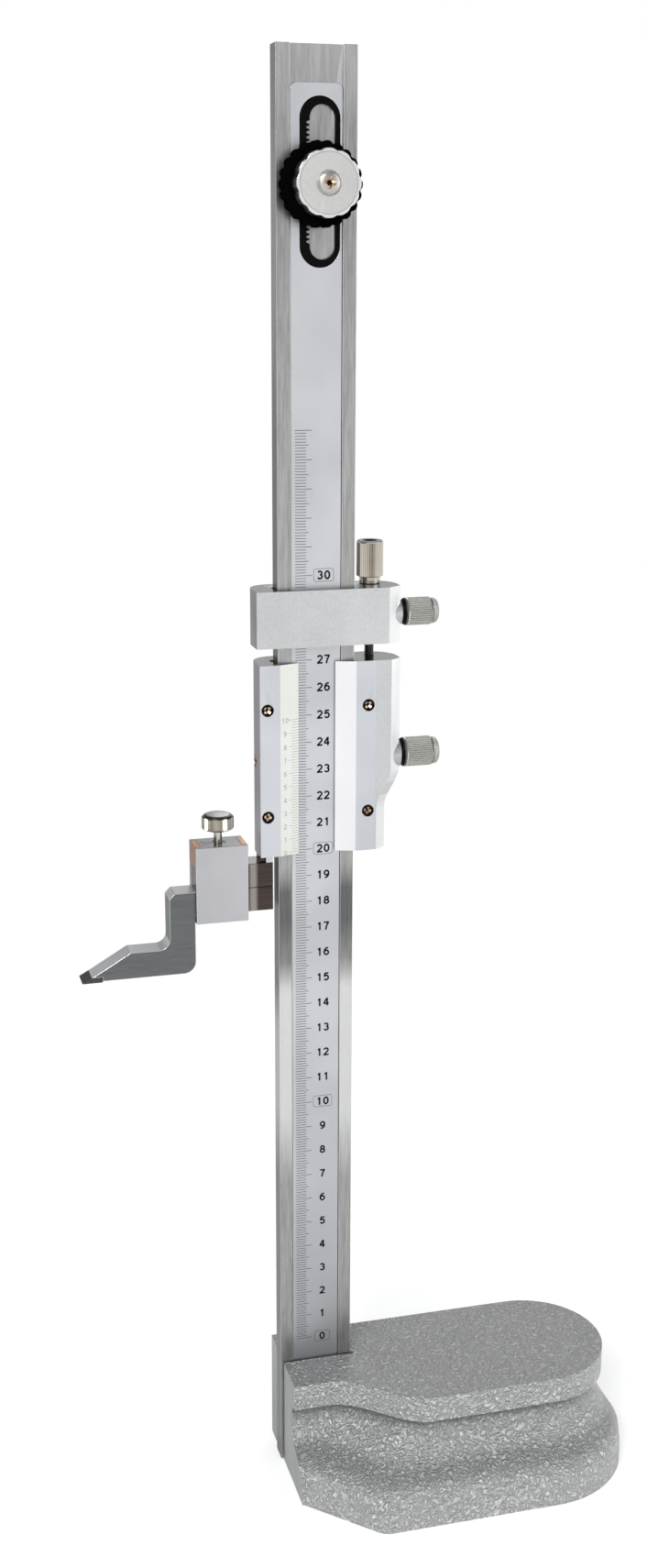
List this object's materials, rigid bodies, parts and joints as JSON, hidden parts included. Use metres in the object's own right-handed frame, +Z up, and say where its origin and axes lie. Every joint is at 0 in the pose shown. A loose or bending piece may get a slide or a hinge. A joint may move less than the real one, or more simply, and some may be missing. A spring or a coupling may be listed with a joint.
{
  "type": "vernier height gauge",
  "caption": "Free-standing vernier height gauge: cast base, upright beam, adjustable main scale, sliding vernier head with fine feed, and a clamped carbide-tipped scriber.",
  "frame": {"origin": "middle of the base's foot, on the surface plate", "axes": "+Z up along the beam, -Y towards the reader, -X towards the scriber's tip"},
  "size_m": [0.2061, 0.075, 0.5268],
  "materials": {
    "hammertone_enamel": "cast iron under silver-grey hammertone enamel",
    "ground_steel": "ground lengthwise",
    "black_oxide": "black oxide",
    "satin_scale": "satin chrome plate with black filled graduations",
    "black_nylon": "moulded, half gloss",
    "spun_aluminium": "fine blasted with bright edges",
    "copper_nickel": "bright, coppery nickel",
    "satin_chrome": "satin chrome with polished end faces",
    "bronze": "phosphor bronze strip",
    "brass": "turned",
    "grey_knob": "matte grey with straight knurl",
    "nickel": "bright nickel plate, knurled",
    "dark_steel": "ground, unplated hardened steel",
    "carbide": "lapped carbide"
  },
  "bodies": {
    "base_frame": {"base_casting": "hammertone_enamel", "beam": "ground_steel", "beam_screws": "black_oxide", "knob_stud": "nickel", "lock_knob_screw": "copper_nickel"},
    "main_scale": {"scale_plate": "satin_scale", "rack_frame": "black_nylon"},
    "feed_knob": {"pinion_gear": "ground_steel", "scale_feed_knob": "black_nylon"},
    "lock_knob": {"scale_lock_knob": "spun_aluminium"},
    "carrier": {"feed_carrier": "satin_chrome", "carrier_leaf_spring": "bronze", "carrier_clamp_pad": "brass", "nut_pin": "ground_steel"},
    "carrier_clamp": {"carrier_clamp_knob": "grey_knob", "carrier_clamp_screw": "ground_steel"},
    "fine_nut": {"feed_nut": "nickel"},
    "slider": {"slider_body": "satin_chrome", "slider_gib": "brass", "gib_screw": "copper_nickel", "vernier_plate": "satin_chrome", "vernier_plate_screws": "copper_nickel", "guide_plate": "satin_chrome", "guide_plate_screws": "copper_nickel", "slider_clamp_pad": "brass", "feed_screw": "black_oxide", "measuring_jaw": "dark_steel", "jaw_dowels": "ground_steel"},
    "slider_clamp": {"slider_clamp_knob": "grey_knob", "slider_clamp_screw": "ground_steel"},
    "clamp_box": {"scriber_clamp_box": "satin_chrome", "clamp_clip": "bronze"},
    "thumb": {"thumb_screw": "nickel"},
    "scriber_bar": {"scriber": "dark_steel", "carbide_tip": "carbide"}
  },
  "joints": [
    {"name": "carrier_slide", "type": "slide", "parent": "base_frame", "child": "carrier", "axis": [0, 0, 1], "range_m": [-0.2036, 0.11]},
    {"name": "feed_nut_turn", "type": "hinge", "parent": "carrier", "child": "fine_nut", "pos_m": [-0.03145, 0.026, 0.348], "axis": [0, 0, -1], "range_deg": [-2161, 2161]},
    {"name": "fine_feed", "type": "slide", "parent": "carrier", "child": "slider", "axis": [0, 0, 1], "range_m": [-0.0042, 0.0042]},
    {"name": "carrier_clamp_turn", "type": "hinge", "parent": "carrier", "child": "carrier_clamp", "pos_m": [-0.0222, 0.0209, 0.338], "axis": [1, 0, 0], "range_deg": [0, 180]},
    {"name": "slider_clamp_turn", "type": "hinge", "parent": "slider", "child": "slider_clamp", "pos_m": [-0.0222, 0.0209, 0.2862], "axis": [1, 0, 0], "range_deg": [0, 180]},
    {"name": "feed_knob_turn", "type": "hinge", "parent": "base_frame", "child": "feed_knob", "pos_m": [-0.05345, 0.0173, 0.4828], "axis": [0, 1, 0], "range_deg": [-333, 251]},
    {"name": "scale_slide", "type": "slide", "parent": "base_frame", "child": "main_scale", "axis": [0, 0, 1], "range_m": [-0.01598, 0.012]},
    {"name": "lock_knob_turn", "type": "hinge", "parent": "base_frame", "child": "lock_knob", "pos_m": [-0.05345, 0.0173, 0.4828], "axis": [0, -1, 0], "range_deg": [0, 270]},
    {"name": "clamp_box_slide", "type": "slide", "parent": "slider", "child": "clamp_box", "axis": [1, 0, 0], "range_m": [-0.007, 0.0014]},
    {"name": "scriber_slide", "type": "slide", "parent": "clamp_box", "child": "scriber_bar", "axis": [1, 0, 0], "range_m": [-0.012, 0]},
    {"name": "thumb_screw_turn", "type": "hinge", "parent": "clamp_box", "child": "thumb", "pos_m": [-0.08845, 0.0238, 0.256], "axis": [0, 0, 1], "range_deg": [0, 360]}
  ],
  "couplings": [
    {"joint": "feed_nut_turn", "follows": "fine_feed", "rad_per_m": 8976},
    {"joint": "feed_knob_turn", "follows": "scale_slide", "rad_per_m": 363.64}
  ]
}
